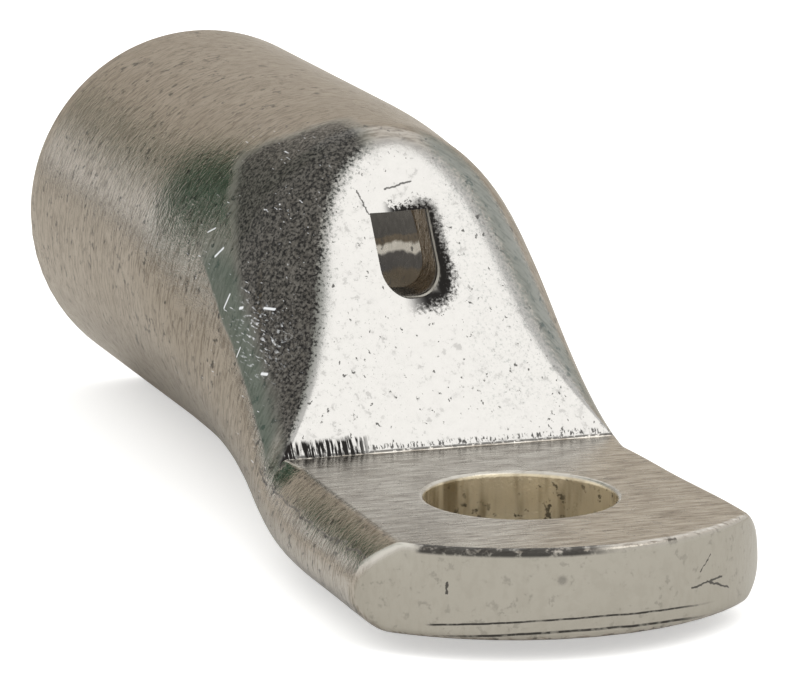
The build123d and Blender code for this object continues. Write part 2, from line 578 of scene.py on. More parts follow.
@dataclass(frozen=True)
class LugSkin:
    """One closed skin over the tube, from the palm's end round the mouth into the bore.

    The skin is a grid. Each row is a closed loop round the section at one x, and the columns
    keep to the section's corners. Both ends of the grid close in a pole.
    """

    tube: PressedTube
    marks: PressMarks
    grid: SkinGrid = SkinGrid()

    @staticmethod
    def _eased(count: int, first: float) -> np.ndarray:
        """Shares from 0 to 1 in count steps, whose first is that share of an even one."""
        s = np.linspace(0.0, 1.0, count + 1)
        return first * s + (1 - first) * s * s

    @staticmethod
    def _depth(t: np.ndarray, fullness: np.ndarray) -> np.ndarray:
        """Share of the lower curve's full depth at t along it."""
        return 3 * (1 - t) ** 2 * t * fullness + 3 * (1 - t) * t * t + t**3

    def half_loop(
        self,
        section: Section,
        top_reach: np.ndarray | float,
        floor_reach: float,
        inset: np.ndarray | float = 0.0,
    ) -> tuple[np.ndarray, np.ndarray]:
        """Loop from the top middle down the left side to the bottom middle, one row for each x.

        The crown is an ellipse, y = half cos a and z = side + (crown - side) sin a, held under
        the palm top or ramp. The lower corner is a cubic curve of the given fullness, held above
        the contact face.

        Args:
            section: Section sizes, one for each row.
            top_reach: Rounding of the upper corner.
            floor_reach: Rounding of the lower corner.
            inset: Distance inside the skin.

        Returns:
            Y and Z of the points, rows by columns.
        """
        g = self.grid
        half = column(section.half - inset)
        side = column(section.side)
        crown = column(section.crown - inset)
        keel = column(section.keel + inset)
        top = column(section.top - inset)
        floor = column(section.floor + inset)
        fullness = column(section.corner)
        lift = np.clip((top - side) / (crown - side), g.least_lift, 1.0)
        corner = np.minimum(np.arcsin(lift), g.steepest_corner)
        in_barrel = smooth_step(column(section.top - section.crown), *g.rounding_out)
        corner = corner + (g.barrel_corner - corner) * in_barrel
        flat = self._eased(g.flat_points, g.flat_ease)[::-1]
        flat_angle = np.arccos(np.clip(np.cos(corner) * (1 - flat), -1.0, 1.0))
        flank = corner * (1 - self._eased(g.flank_points, g.flank_ease)[1:])
        angle = np.concatenate([flat_angle, flank], axis=1)
        upper_z = soft_min(side + (crown - side) * np.sin(angle), top, column(top_reach))
        share = self._lower_share(side, keel, floor, fullness)
        lower = share * (1 - self._eased(g.lower_points, g.flank_ease)[::-1])[1:]
        base = share + (1 - share) * self._eased(g.base_points, g.flat_ease)[1:]
        t = np.concatenate([lower, base], axis=1)
        lower_y = half * ((1 - t) ** 3 + 3 * (1 - t) ** 2 * t + 3 * (1 - t) * t * t * fullness)
        lower_z = side - (side - keel) * self._depth(t, fullness)
        lower_z = -soft_min(-lower_z, -floor, column(floor_reach))
        return (
            np.concatenate([half * np.cos(angle), lower_y], axis=1),
            np.concatenate([upper_z, lower_z], axis=1),
        )

    def _lower_share(
        self, side: np.ndarray, keel: np.ndarray, floor: np.ndarray, fullness: np.ndarray
    ) -> np.ndarray:
        """Share of the lower curve at which it meets the contact face, by halving.

        Args:
            side: Height of the widest line.
            keel: Lowest height of the curve.
            floor: Height of the contact face.
            fullness: Fullness of the corner.

        Returns:
            The share for each row, held between two shares that keep the columns apart.
        """
        low = np.zeros_like(side)
        high = np.ones_like(side)
        for _ in range(self.grid.halvings):
            t = (low + high) / 2
            above = side - (side - keel) * self._depth(t, fullness) > floor
            low = np.where(above, t, low)
            high = np.where(above, high, t)
        return np.clip(low, *self.grid.lower_corner)

    def _palm_end(self) -> list[Block]:
        """Palm's end: the loop drawn together to the middle of the arched face, and its edge.

        Returns:
            The face and the edge.
        """
        s, g, tube = self.tube.sizes, self.grid, self.tube
        y, z = self.half_loop(
            tube.outside(np.array([-s.palm_reach])), g.soft_edge, g.soft_edge, s.end_edge
        )
        rings = column(np.linspace(0.0, 1.0, g.cap_rings + 1)[:-1])
        rings = np.maximum(rings, g.pole_scale)
        middle = s.palm_top / 2
        face = (tube.end_x(y * rings), y * rings, middle + (z - middle) * rings)
        turn = np.radians(np.linspace(90.0, 0.0, g.edge_rows))
        section = tube.outside(np.full_like(turn, -s.palm_reach))
        inset = s.end_edge * (1 - np.cos(turn))
        y, z = self.half_loop(section, g.soft_edge, g.soft_edge, inset)
        behind = column(s.end_edge * (1 - np.sin(turn)))
        return [face, (tube.end_x(y, behind), y, z)]

    def _palm(self) -> Block:
        """Palm, whose rows straighten out from the arched end.

        Returns:
            The rows.
        """
        s, g = self.tube.sizes, self.grid
        section = self.tube.outside(np.full(g.palm_rows, -s.palm_reach))
        y, z = self.half_loop(section, g.soft_edge, g.soft_edge)
        start = self.tube.end_x(y, s.end_edge)
        share = column(self._eased(g.palm_rows, g.palm_ease)[1:])
        return start + (s.palm_straight - start) * share, y, z

    def _outside(self) -> Block:
        """Transition and barrel, with rows that crowd at the ramp's foot.

        Returns:
            The rows.
        """
        s, g = self.tube.sizes, self.grid
        palm, ramp, transition, barrel = g.row_counts
        before = [-d for d in g.foot_rows[:0:-1]]
        near_foot = [g.before_foot[1], *before, *g.foot_rows, g.past_foot[0]]
        x = np.concatenate(
            [
                np.linspace(s.palm_straight, s.ramp_foot + g.before_foot[0], palm)[1:],
                s.ramp_foot + np.array(near_foot),
                np.linspace(s.ramp_foot + g.past_foot[1], g.row_stops[0], ramp),
                np.linspace(*g.row_stops, transition)[1:],
                np.linspace(g.row_stops[1], s.mouth_x - s.mouth_edge, barrel)[1:],
            ]
        )
        reach = g.soft_edge + g.ramp_edge * smooth_step(x - s.ramp_foot, *g.ramp_edge_span)
        y, z = self.half_loop(self.tube.outside(x), reach, g.soft_edge)
        return column(x) + 0 * y, y, z

    def _mouth(self) -> list[Block]:
        """Outer and inner edge of the mouth, with the cut face between them.

        Returns:
            Both edges, as round rows with the barrel's columns.
        """
        s, g = self.tube.sizes, self.grid
        turn = np.radians(np.linspace(0.0, 90.0, g.edge_rows))[1:]
        section = self.tube.outside(np.full_like(turn, s.mouth_x))
        y, z = self.half_loop(section, g.soft_edge, g.soft_edge)
        inset = s.mouth_edge * (1 - np.cos(turn))
        x = column(s.mouth_x - s.mouth_edge * (1 - np.sin(turn))) + 0 * y
        edges = []
        for rows_x, radius in (
            (x, s.barrel_radius - inset),
            (x[::-1], s.bore_radius + inset[::-1]),
        ):
            scale = column(radius / s.barrel_radius)
            edges.append((rows_x, y * scale, s.axis_height + (z - s.axis_height) * scale))
        return edges

    def _bore(self) -> list[Block]:
        """Bore and the squeezed space behind the ramp, drawn together at its tip.

        Returns:
            The rows and the last one at the tip.
        """
        s, g = self.tube.sizes, self.grid
        x = np.concatenate(
            [
                np.linspace(s.mouth_x - s.mouth_edge, s.bore_start, g.bore_rows),
                np.linspace(s.bore_start, s.cavity_tip, g.cavity_rows)[1:],
            ]
        )
        y, z = self.half_loop(self.tube.inside(x), g.inner_edge, g.inner_edge)
        last_y, last_z = y[-1:], z[-1:]
        centre = last_z.mean()
        tip_z = centre + (last_z - centre) * g.pole_scale
        tip = (np.full_like(last_y, s.cavity_tip), last_y * g.pole_scale, tip_z)
        return [(column(x) + 0 * y, y, z), tip]

    def mesh(self, name: str) -> bpy.types.Mesh:
        """Closed mesh of both halves, with the marks in its outer skin.

        Args:
            name: Name of the mesh.

        Returns:
            The mesh, in metres.
        """
        outer = [*self._palm_end(), self._palm(), self._outside()]
        blocks = [*outer, *self._mouth(), *self._bore()]
        left = np.stack([np.concatenate(part) for part in zip(*blocks)], axis=-1)
        right = left[:, -2:0:-1] * (1.0, -1.0, 1.0)
        points = np.concatenate([left, right], axis=1)
        outer_rows = sum(len(x) for x, _, _ in outer)
        poles = points[[0, -1]].mean(axis=1)
        points[:outer_rows] = self.marks.apply(points[:outer_rows])
        points = points[1:-1]
        rows, columns = points.shape[:2]
        index = np.arange(rows * columns).reshape(rows, columns)
        following = np.roll(index, -1, axis=1)
        quads = np.stack([index[:-1], index[1:], following[1:], following[:-1]], axis=-1)
        first_pole = np.full(columns, rows * columns)
        start = np.stack([first_pole, index[0], following[0]], axis=-1)
        end = np.stack([first_pole + 1, following[-1], index[-1]], axis=-1)
        faces = quads.reshape(-1, 4).tolist() + start.tolist() + end.tolist()
        mesh = bpy.data.meshes.new(name)
        places = np.concatenate([points.reshape(-1, 3), poles * (1.0, 0.0, 1.0)]) * MM
        mesh.from_pydata(places.tolist(), [], faces)
        mesh.validate()
        mesh.update()
        return mesh


@dataclass(frozen=True)
class PhotoCamera:
    """The photograph's view, in millimetres, radians and pixels."""

    place: Place = (-221.921, 82.512, 63.112)
    yaw: float = -0.3327
    pitch: float = 0.2165
    roll: float = -0.0055
    focal_pixels: float = 5571.9
    image_width: float = 791.0
    sensor_width: float = 36.0
    clip: Span = (0.005, 20.0)

    def build(self) -> None:
        """Make the camera and set it as the scene's."""
        level = math.cos(self.pitch)
        forward = (level * math.cos(self.yaw), level * math.sin(self.yaw), -math.sin(self.pitch))
        forward = Vector(forward)
        right = forward.cross(Vector((0, 0, 1))).normalized()
        down = forward.cross(right)
        rolled_right = math.cos(self.roll) * right + math.sin(self.roll) * down
        rolled_down = -math.sin(self.roll) * right + math.cos(self.roll) * down
        data = bpy.data.cameras.new("photo_camera")
        data.sensor_fit = "HORIZONTAL"
        data.sensor_width = self.sensor_width
        data.lens = self.focal_pixels * self.sensor_width / self.image_width
        data.clip_start, data.clip_end = self.clip
        camera = bpy.data.objects.new("photo_camera", data)
        turn = Matrix((rolled_right, -rolled_down, -forward)).transposed().to_4x4()
        camera.matrix_world = Matrix.Translation(Vector(self.place) * MM) @ turn
        bpy.context.scene.collection.objects.link(camera)
        bpy.context.scene.camera = camera
        LOG.info("camera: lens %.1f mm", data.lens)


class Operation(Enum):
    """Arithmetic between shader values, by Blender's names."""

    ADD = "ADD"
    SUBTRACT = "SUBTRACT"
    MULTIPLY = "MULTIPLY"
    GREATER = "MAXIMUM"
    DISTANCE = "ABSOLUTE"


@dataclass(frozen=True, eq=False)
class Value:
    """Number, colour or place that varies over a surface: a node's output, with arithmetic."""

    socket: bpy.types.NodeSocket

    def node(self, kind: str, **inputs) -> bpy.types.Node:
        """Node in this value's tree, filled as add_node says."""
        return add_node(self.socket.id_data, kind, **inputs)

    def worked(
        self, operation: Operation, *values: "Value | float", clamp: bool = False
    ) -> "Value":
        """Result of an operation.

        Args:
            operation: The operation.
            *values: Its numbers in order.
            clamp: Whether the result is held between 0 and 1.

        Returns:
            The result.
        """
        inputs = {f"at{i}": value for i, value in enumerate(values)}
        inputs.update(set_operation=operation.value, set_use_clamp=clamp)
        return Value(self.node("ShaderNodeMath", **inputs).outputs[0])

    def __add__(self, other: "Value | float") -> "Value":
        """Sum."""
        return self.worked(Operation.ADD, self, other)

    def __sub__(self, other: "Value | float") -> "Value":
        """Difference."""
        return self.worked(Operation.SUBTRACT, self, other)

    def __rsub__(self, other: float) -> "Value":
        """Difference from a plain number."""
        return self.worked(Operation.SUBTRACT, other, self)

    def __mul__(self, other: "Value | float") -> "Value":
        """Product, for shares the place where both hold."""
        return self.worked(Operation.MULTIPLY, self, other)

    def __or__(self, other: "Value | float") -> "Value":
        """Greater of two, for shares the place where either holds."""
        return self.worked(Operation.GREATER, self, other)

    def __abs__(self) -> "Value":
        """Distance from zero."""
        return self.worked(Operation.DISTANCE, self)

    def swing(self, gain: float) -> "Value":
        """Noise about zero instead of 0.5, times a gain."""
        return (self - 0.5) * gain

    def step(self, span: Span, origin: float = 0.0) -> "Value":
        """Smooth step from 0 to 1.

        Args:
            span: Where the step begins and where it is complete.
            origin: Number that both count from.

        Returns:
            The step.
        """
        node = self.node(
            "ShaderNodeMapRange",
            set_interpolation_type="SMOOTHSTEP",
            Value=self,
            From_Min=origin + span[0],
            From_Max=origin + span[1],
        )
        return Value(node.outputs[0])

    def band(self, centre: float, half: float) -> "Value":
        """Band that is 1 at its centre and 0 from half its width on."""
        return abs(self - centre).step((half, half * BAND_CORE))

    def blend(self, first: "Value | float", second: "Value | float") -> "Value":
        """Number between two, with this value as the second's share."""
        node = self.node("ShaderNodeMix", set_data_type="FLOAT", at0=self, at2=first, at3=second)
        return Value(node.outputs[0])

    def paint(self, under: "Value | str", over: "Value | str") -> "Value":
        """Colour between two, values or hex codes, with this value as the second's share."""
        first, second = (linear_rgb(c) if isinstance(c, str) else c for c in (under, over))
        node = self.node("ShaderNodeMix", set_data_type="RGBA", at0=self, at6=first, at7=second)
        return Value(node.outputs[2])

    def noise(self, per_mm: Place, detail: float, roughness: float) -> "Value":
        """Noise over this place.

        Args:
            per_mm: Features for each millimetre along X, Y and Z.
            detail: Octaves.
            roughness: Strength of the finer octaves.

        Returns:
            The noise, about 0.5 in the mean.
        """
        place = self.node("ShaderNodeVectorMath", set_operation="MULTIPLY", at0=self, at1=per_mm)
        noise = self.node(
            "ShaderNodeTexNoise",
            Vector=place.outputs[0],
            Scale=1.0,
            Detail=detail,
            Roughness=roughness,
        )
        return Value(noise.outputs["Fac"])

    def away(self, other: "Value", place: Span = (0.0, 0.0)) -> "Value":
        """Distance from a place in the plane of this value and another.

        Args:
            other: The other value.
            place: The place, in the same two values.

        Returns:
            The distance.
        """
        point = self.node("ShaderNodeCombineXYZ", X=self, Y=other).outputs[0]
        distance = self.node(
            "ShaderNodeVectorMath", set_operation="DISTANCE", at0=point, at1=(*place, 0.0)
        )
        return Value(distance.outputs["Value"])

    def strokes(self, other: "Value", strokes: "tuple[Stroke, ...]") -> "Value":
        """Share of straight marks in the plane of this value and another.

        The distance to a mark is that to its nearest point, start + h (end - start), where
        h = (p - start) . (end - start) / |end - start|^2 is held between 0 and 1.

        Args:
            other: The other value.
            strokes: The marks.

        Returns:
            The share, 1 in the middle of a mark.
        """
        vector = "ShaderNodeVectorMath"
        point = self.node("ShaderNodeCombineXYZ", X=self, Y=other).outputs[0]
        shares = []
        for stroke in strokes:
            start = Vector((*stroke.start, 0.0))
            span = Vector((*stroke.end, 0.0)) - start
            unit = tuple(span / span.length_squared)
            offset = self.node(vector, set_operation="SUBTRACT", at0=point, at1=tuple(start))
            offset = offset.outputs[0]
            along = self.node(vector, set_operation="DOT_PRODUCT", at0=offset, at1=unit)
            held = self.worked(Operation.MULTIPLY, along.outputs["Value"], 1.0, clamp=True)
            nearest = self.node(vector, set_operation="SCALE", at0=tuple(span), Scale=held)
            distance = self.node(
                vector, set_operation="DISTANCE", at0=offset, at1=nearest.outputs[0]
            )
            core = (stroke.width, stroke.width * BAND_CORE)
            shares.append(Value(distance.outputs["Value"]).step(core))
        return reduce(Value.__or__, shares)


@dataclass(frozen=True)
class Stroke:
    """Straight mark in a face, between two places on it in millimetres."""

    start: Span
    end: Span
    width: float


@dataclass(frozen=True)
class Grain:
    """Noises of the finish, about 0.5 in the mean.

    Plated tin has pits of 0.1 to 0.5 mm. The finest are drawn at 6 per millimetre, about 4
    pixels wide, so that they show. Strokes run round the barrel and streaks across the palm.
    """

    fine: Value
    speckle: Value
    coarse: Value
    strokes: Value
    streaks: Value
    hairs: Value
    mottle: Value

    @classmethod
    def over(cls, mm: Value) -> "Grain":
        """Noises over a place.

        Args:
            mm: The place in millimetres.

        Returns:
            The noises.
        """
        turned = mm.node(
            "ShaderNodeMapping", Vector=mm, Rotation=(0.7, 0.5, 0.9), Scale=(0.8, 8.0, 8.0)
        )
        return cls(
            fine=mm.noise((6.0, 6.0, 6.0), 3.0, 0.65),
            speckle=mm.noise((2.2, 2.2, 2.2), 4.0, 0.65),
            coarse=mm.noise((0.5, 0.5, 0.5), 3.0, 0.55),
            strokes=mm.noise((6.0, 1.4, 1.4), 4.0, 0.6),
            streaks=mm.noise((5.0, 0.5, 5.0), 4.0, 0.6),
            hairs=Value(turned.outputs[0]).noise((1.0, 1.0, 1.0), 2.0, 0.5),
            mottle=mm.noise((6.5, 6.5, 6.5), 5.0, 0.68),
        )

    @property
    def patchy(self) -> Value:
        """Share where a mark still holds its dirt, and where the painted shade along the end's
        upper edge holds.
        """
        return self.speckle.step((0.36, 0.5))


@dataclass(frozen=True)
class ZoneSpans:
    """Where the share of each zone rises from 0 to 1, in millimetres."""

    under_ramp: Span = (-0.4, -0.04)
    past_foot: Span = (0.0, 0.1)
    before_foot: Span = (0.1, 0.0)
    under_palm_top: Span = (-0.12, -0.02)
    near_end: Span = (0.0, -1.0)
    to_end_face: Span = (-0.08, -0.02)
    to_end_edge: Span = (-0.42, -0.3)
    end_edge_height: Span = (3.62, 3.76)
    stud_wall: Span = (4.33, 4.27)
    behind_wall: Span = (-2.1, -2.2)
    inside_tube: Span = (7.3, 7.1)
    past_cavity_tip: Span = (0.9, 1.3)


@dataclass(frozen=True)
class Zones:
    """Place on the lug in millimetres, height above the ramp's plane, and shares of zones."""

    mm: Value
    x: Value
    y: Value
    z: Value
    from_foot: Value
    ragged_y: Value
    ragged_z: Value
    above: Value
    ramp: Value
    palm: Value
    end: Value
    end_edge: Value
    from_stud: Value
    from_end_centre: Value
    hole_wall: Value
    inner: Value

    @classmethod
    def on(cls, mm: Value, grain: Grain, s: TubeSizes, spans: ZoneSpans) -> "Zones":
        """Zones from the place on the lug.

        Args:
            mm: The place in millimetres.
            grain: Noises of the finish.
            s: Sizes of the tube.
            spans: Where the zones begin.

        Returns:
            The zones.
        """
        x, y, z = (Value(part) for part in mm.node("ShaderNodeSeparateXYZ", Vector=mm).outputs)
        from_foot = x - s.ramp_foot
        above = from_foot * -math.sin(s.lean) + (z - s.palm_top) * math.cos(s.lean)
        from_stud = x.away(y)
        from_end_centre = x.away(y, (s.end_radius - s.palm_reach, 0.0))
        near_end = x.step(spans.near_end)
        to_edge = from_end_centre.step(spans.to_end_edge, s.end_radius)
        in_tube = y.away(z, (0.0, s.axis_height)).step(spans.inside_tube)
        past_tip = from_foot.step(spans.past_cavity_tip)
        under_top = z.step(spans.under_palm_top, s.palm_top)
        return cls(
            mm=mm,
            x=x,
            y=y,
            z=z,
            from_foot=from_foot,
            ragged_y=y + grain.fine.swing(0.2),
            ragged_z=z + grain.speckle.swing(0.3),
            above=above,
            ramp=above.step(spans.under_ramp) * from_foot.step(spans.past_foot),
            palm=under_top * from_foot.step(spans.before_foot),
            end=from_end_centre.step(spans.to_end_face, s.end_radius) * near_end,
            end_edge=to_edge * near_end * z.step(spans.end_edge_height),
            from_stud=from_stud,
            from_end_centre=from_end_centre,
            hole_wall=from_stud.step(spans.stud_wall),
            inner=above.step(spans.behind_wall) * in_tube * past_tip,
        )


@dataclass(frozen=True)
class BoreBands:
    """Dark film in the bore, and bands of painted reflection on the wall seen through the window.
    """

    tint: str = "#7d6c52"
    dark: str = "#302e2f"
    black: str = "#0b0a0a"
    pale: str = "#f2f1ec"
    olive: str = "#574728"
    middle_x: float = 35.0
    slope: float = 0.23
    waver: float = 0.9
    dark_from: Span = (6.6, 6.9)
    olive_from: Span = (8.0, 8.1)
    black_from: Span = (8.4, 8.55)
    pale_height: float = 7.85
    pale_half: float = 0.34
    far_side: Span = (-2.0, -4.0)
    from_x: Span = (22.0, 26.0)
    to_x: Span = (44.0, 40.0)

    def colour(self, at: Zones, grain: Grain) -> Value:
        """Colour of the bore.

        Args:
            at: Zones of the lug.
            grain: Noises of the finish.

        Returns:
            The colour.
        """
        height = at.z + (at.x - self.middle_x) * self.slope + grain.coarse.swing(self.waver)
        # Bands of painted reflection: olive, dark, pale and black
        bands = height.step(self.dark_from).paint(self.olive, self.dark)
        bands = height.step(self.olive_from).paint(bands, self.olive)
        bands = height.band(self.pale_height, self.pale_half).paint(bands, self.pale)
        bands = height.step(self.black_from).paint(bands, self.black)
        behind = at.y.step(self.far_side) * at.x.step(self.from_x) * at.x.step(self.to_x)
        return behind.paint(self.tint, bands)


@dataclass(frozen=True)
class PaintedFlankReflections:
    """Painted reflections: dark, flecked and green-edged on the left flank, teal on the right."""

    reflected_dark: str = "#201f1e"
    fleck: str = "#4b4a45"
    green: str = "#374a3f"
    teal: str = "#50605c"
    turn_height: float = 12.0
    turn_slope: float = 0.48
    top_span: Span = (14.9, 17.2)
    top_cut: float = 4.0
    reach_span: Span = (-5.1, -3.7)
    edge_span: Span = (0.0, -0.2)
    from_foot: Span = (-0.3, 0.8)
    left: Span = (0.2, 1.6)
    flecks: Span = (0.32, 0.76)
    thin: Span = (0.62, 0.4)
    margin_slope: float = 0.79
    margin_span: Span = (1.4, 1.8)
    margin_share: float = 0.8
    sheen_middle: float = -0.75
    sheen_half: float = 0.75
    sheen_share: float = 0.62
    waver: float = 1.2
    edge_from: float = 0.42
    edge_waver: float = 0.7
    thin_share: float = 0.8
    margin_waver: float = 0.6
    margin_under_ramp: Span = (0.0, -0.3)
    margin_top: Span = (13.0, 10.5)
    margin_left: Span = (2.0, 4.0)
    margin_to_x: Span = (24.0, 21.0)
    margin_past_foot: Span = (0.6, 2.0)
    sheen_right: Span = (-1.2, -2.6)
    sheen_past_foot: Span = (0.0, 1.5)
    right: Span = (0.5, -0.5)

    def share_and_colour(self, at: Zones, grain: Grain) -> tuple[Value, Value]:
        """Share and colour of the painted reflections.

        Args:
            at: Zones of the lug.
            grain: Noises of the finish.

        Returns:
            The share and the colour.
        """
        # Painted dark reflection in a patch on the left flank beside the ramp
        reach = at.above + (at.z - self.turn_height) * self.turn_slope
        reach = reach - at.z.step(self.top_span) * self.top_cut + grain.coarse.swing(self.waver)
        edge = at.above + (grain.mottle - self.edge_from) * self.edge_waver
        whole = reach.step(self.reach_span) * edge.step(self.edge_span)
        whole = whole * at.from_foot.step(self.from_foot) * at.y.step(self.left)
        share = whole * grain.mottle.step(self.thin).blend(self.thin_share, 1.0)
        # The painted green reflection of the margin ends at a line across the flank
        margin = at.above + at.z * self.margin_slope + grain.coarse.swing(self.margin_waver)
        margin = margin.step(self.margin_span) * at.above.step(self.margin_under_ramp)
        margin = margin * at.z.step(self.margin_top) * at.y.step(self.margin_left)
        margin = margin * at.x.step(self.margin_to_x)
        margin = margin * at.from_foot.step(self.margin_past_foot)
        # Painted teal reflection in a band beside the ramp on the right
        tint = at.above + grain.mottle.swing(self.waver)
        tint = tint.band(self.sheen_middle, self.sheen_half) * at.y.step(self.sheen_right)
        tint = tint * at.from_foot.step(self.sheen_past_foot)
        flecked = grain.mottle.step(self.flecks).paint(self.reflected_dark, self.fleck)
        tone = at.y.step(self.right).paint(whole.paint(self.green, flecked), self.teal)
        return share | tint * self.sheen_share | margin * self.margin_share, tone


@dataclass(frozen=True)
class EndMarks:
    """Shear lines, ticks and a spot on the palm's end, and painted shade along its upper left edge.

    The lines are bowed: their height is that in the middle less bow times y squared.
    """

    line_heights: Span = (1.02, 0.48)
    line_halves: Span = (0.06, 0.075)
    bow: float = 0.0076
    waver: float = 0.12
    lines_worn: Span = (0.5, 0.95)
    edge_patches: Span = (0.35, 0.9)
    ticks_share: float = 0.85
    spot_share: float = 0.4
    lines_left: Span = (7.0, 6.6)
    lines_right: Span = (-6.2, -3.6)
    edge_left: Span = (7.4, 7.1)
    edge_right: Span = (-1.2, 0.8)
    spot: Span = (1.6, 2.65)
    spot_rim: Span = (0.29, 0.09)
    ticks: tuple[Stroke, ...] = (
        Stroke((-4.65, 1.56), (-6.4, 1.74), 0.06),
        Stroke((-5.55, 1.7), (-6.85, 1.1), 0.06),
        Stroke((-5.1, 2.2), (-5.7, 2.85), 0.035),
        Stroke((6.17, 2.48), (6.17, 2.05), 0.075),
    )

    def share(self, at: Zones, grain: Grain) -> Value:
        """Share of the marks.

        Args:
            at: Zones of the lug.
            grain: Noises of the finish.

        Returns:
            The share.
        """
        bowed = at.z + at.y * at.y * self.bow + grain.coarse * self.waver
        upper, lower = map(bowed.band, self.line_heights, self.line_halves)
        lines = (upper | lower) * at.y.step(self.lines_left) * at.y.step(self.lines_right)
        lines = lines * grain.patchy.blend(*self.lines_worn)
        ticks = at.ragged_y.strokes(at.ragged_z, self.ticks) * self.ticks_share
        spot = at.y.away(at.z, self.spot).step(self.spot_rim) * self.spot_share
        # Painted shade along the upper left edge of the end, in patches
        edge = at.end_edge * at.y.step(self.edge_left) * at.y.step(self.edge_right)
        return (lines | ticks | spot) * at.end | edge * grain.patchy.blend(*self.edge_patches)


@dataclass(frozen=True)
class FlankCrack:
    """Crack along the palm's left flank, in the plane of X and Z."""

    strokes: tuple[Stroke, ...] = (
        Stroke((10.8, 3.25), (9.0, 2.93), 0.07),
        Stroke((9.0, 2.93), (3.5, 2.83), 0.07),
        Stroke((3.5, 2.83), (-5.4, 3.0), 0.07),
    )
    left: Span = (7.5, 8.2)
    waver: float = 1.0
    strength: float = 0.75

    def share(self, at: Zones, grain: Grain) -> Value:
        """Share of the crack.

        Args:
            at: Zones of the lug.
            grain: Noises of the finish.

        Returns:
            The share.
        """
        wander = at.ragged_z + grain.coarse.swing(self.waver)
        crack = at.x.strokes(wander, self.strokes) * at.y.step(self.left)
        return crack * grain.patchy * self.strength


@dataclass(frozen=True)
class FootChatter:
    """Chatter of the press tool along the ramp's foot, coarse on its left, dots on the rest."""

    under_ramp: Span = (-0.4, -0.1)
    past_foot: Span = (0.0, 0.04)
    teeth_height: Span = (5.1, 4.85)
    teeth_left: Span = (3.6, 4.3)
    dots_height: float = 4.24
    dots_half: float = 0.16
    line_height: float = 4.07
    line_half: float = 0.07
    teeth_per_mm: Place = (0.6, 6.5, 0.6)
    teeth_cut: Span = (0.47, 0.53)
    dots_per_mm: Place = (3.5, 9.0, 3.5)
    dots_cut: Span = (0.52, 0.6)
    line_cut: Span = (0.36, 0.46)
    dots_share: float = 0.8
    line_share: float = 0.7

    def share(self, at: Zones, grain: Grain) -> Value:
        """Share of the chatter.

        Args:
            at: Zones of the lug.
            grain: Noises of the finish.

        Returns:
            The share.
        """
        ragged = at.z + grain.speckle * 0.6
        teeth = at.mm.noise(self.teeth_per_mm, 2.0, 0.6).step(self.teeth_cut)
        teeth = teeth * ragged.step(self.teeth_height) * at.y.step(self.teeth_left)
        dots = at.mm.noise(self.dots_per_mm, 2.0, 0.6).step(self.dots_cut)
        dots = dots * at.z.band(self.dots_height, self.dots_half) * self.dots_share
        line = at.z.band(self.line_height, self.line_half) * grain.fine.step(self.line_cut)
        line = line * self.line_share
        on_foot = at.above.step(self.under_ramp) * at.from_foot.step(self.past_foot)
        return (teeth | dots | line) * on_foot


@dataclass(frozen=True)
class WindowRim:
    """Painted dark reflection on the rolled rim at the window's right, its head and its lower
    right.
    """

    window: InspectionWindow
    rounding: float = 0.7
    reach: Span = (1.35, 0.9)
    head_reach: Span = (1.1, 0.85)
    right: Span = (-0.6, -1.3)
    head_y: Span = (1.0, 0.4)
    head_z: Span = (-0.2, 0.0)
    foot_y: Span = (0.9, -0.4)
    foot_z: Span = (0.6, 0.1)
    fine_waver: float = 1.3
    coarse_waver: float = 0.8
    under_ramp: Span = (-0.9, -0.6)
    past_foot: Span = (0.0, 0.1)

    def share(self, at: Zones, grain: Grain) -> Value:
        """Share of the painted dark reflection.

        Args:
            at: Zones of the lug.
            grain: Noises of the finish.

        Returns:
            The share.
        """
        w = self.window
        middle = (w.sill + w.head) / 2
        across = abs(at.y - w.centre) - (w.width / 2 - self.rounding)
        up = abs(at.z - middle) - ((w.head - w.sill) / 2 - self.rounding)
        outside = (across | 0.0).away(up | 0.0)
        ragged = outside + grain.fine.swing(self.fine_waver)
        ragged = ragged + grain.coarse.swing(self.coarse_waver)
        right = at.y.step(self.right, w.centre)
        head = ragged.step(self.head_reach) * at.y.step(self.head_y)
        head = head * at.z.step(self.head_z, w.head)
        foot = at.y.step(self.foot_y) * at.z.step(self.foot_z, w.sill)
        rolled = at.above.step(self.under_ramp) * at.from_foot.step(self.past_foot)
        return ragged.step(self.reach) * (right | head | foot) * rolled


@dataclass(frozen=True)
class RampSpecks:
    """Lines over the window and fine specks in the ramp, but none on the punch's heel flat."""

    window: InspectionWindow
    lines: tuple[Stroke, ...] = (
        Stroke((2.03, 14.6), (1.68, 13.6), 0.045),
        Stroke((0.68, 14.6), (-0.67, 14.87), 0.055),
    )
    strength: float = 0.75
    flat_from: Span = (0.0, 0.1)
    flat_to: Span = (1.7, 1.1)
    flat_right: Span = (-0.8, 0.2)
    flat_left: Span = (2.15, 2.0)
    specks_per_mm: Place = (3.2, 3.2, 2.2)
    specks_cut: Span = (0.645, 0.7)

    def share(self, at: Zones, grain: Grain) -> Value:
        """Share of the marks.

        Args:
            at: Zones of the lug.
            grain: Noises of the finish; not used.

        Returns:
            The share.
        """
        head = self.window.head
        flat = at.z.step(self.flat_from, head) * at.z.step(self.flat_to, head)
        flat = flat * at.y.step(self.flat_right) * at.y.step(self.flat_left)
        specks = at.mm.noise(self.specks_per_mm, 3.0, 0.6).step(self.specks_cut)
        specks = specks * (1.0 - flat)
        lines = at.ragged_y.strokes(at.ragged_z, self.lines)
        return (lines | specks) * at.ramp * self.strength


